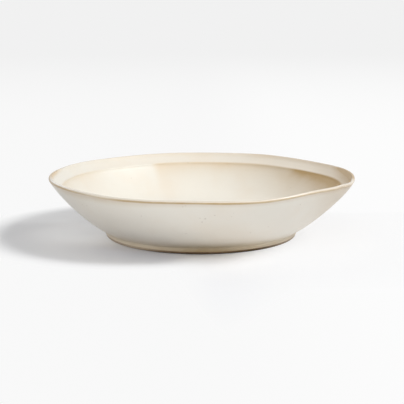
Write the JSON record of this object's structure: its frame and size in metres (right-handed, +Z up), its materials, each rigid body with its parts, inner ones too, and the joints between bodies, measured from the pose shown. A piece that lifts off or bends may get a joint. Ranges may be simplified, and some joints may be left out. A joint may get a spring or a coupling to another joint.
{
  "type": "pasta bowl",
  "caption": "Low, wide stoneware pasta bowl with a flaring wall, a rounded lip, a ledge inside the rim and a bare foot ring, glazed cream with brown breaks",
  "frame": {"origin": "centre of the foot ring's tread, on the table", "axes": "+Z up through the bowl's axis; +X to the right and -Y towards the camera of the picture"},
  "size_m": [0.228, 0.228, 0.0455],
  "materials": {
    "fired_clay": "bare fired stoneware, matt and sandy, warm tan",
    "cream_glaze_inside": "satin cream glaze that breaks brown at the ledge",
    "cream_glaze_outside": "satin cream glaze with fine specks, warmer towards the foot",
    "rim_break_glaze": "thin satin glaze that lets the clay through as a brown line",
    "base_glaze": "satin cream glaze on the underside"
  },
  "bodies": {
    "root": {"stoneware_body": "fired_clay", "interior_glaze": "cream_glaze_inside", "exterior_glaze": "cream_glaze_outside", "rim_glaze": "rim_break_glaze", "base_glaze": "base_glaze"}
  },
  "joints": []
}
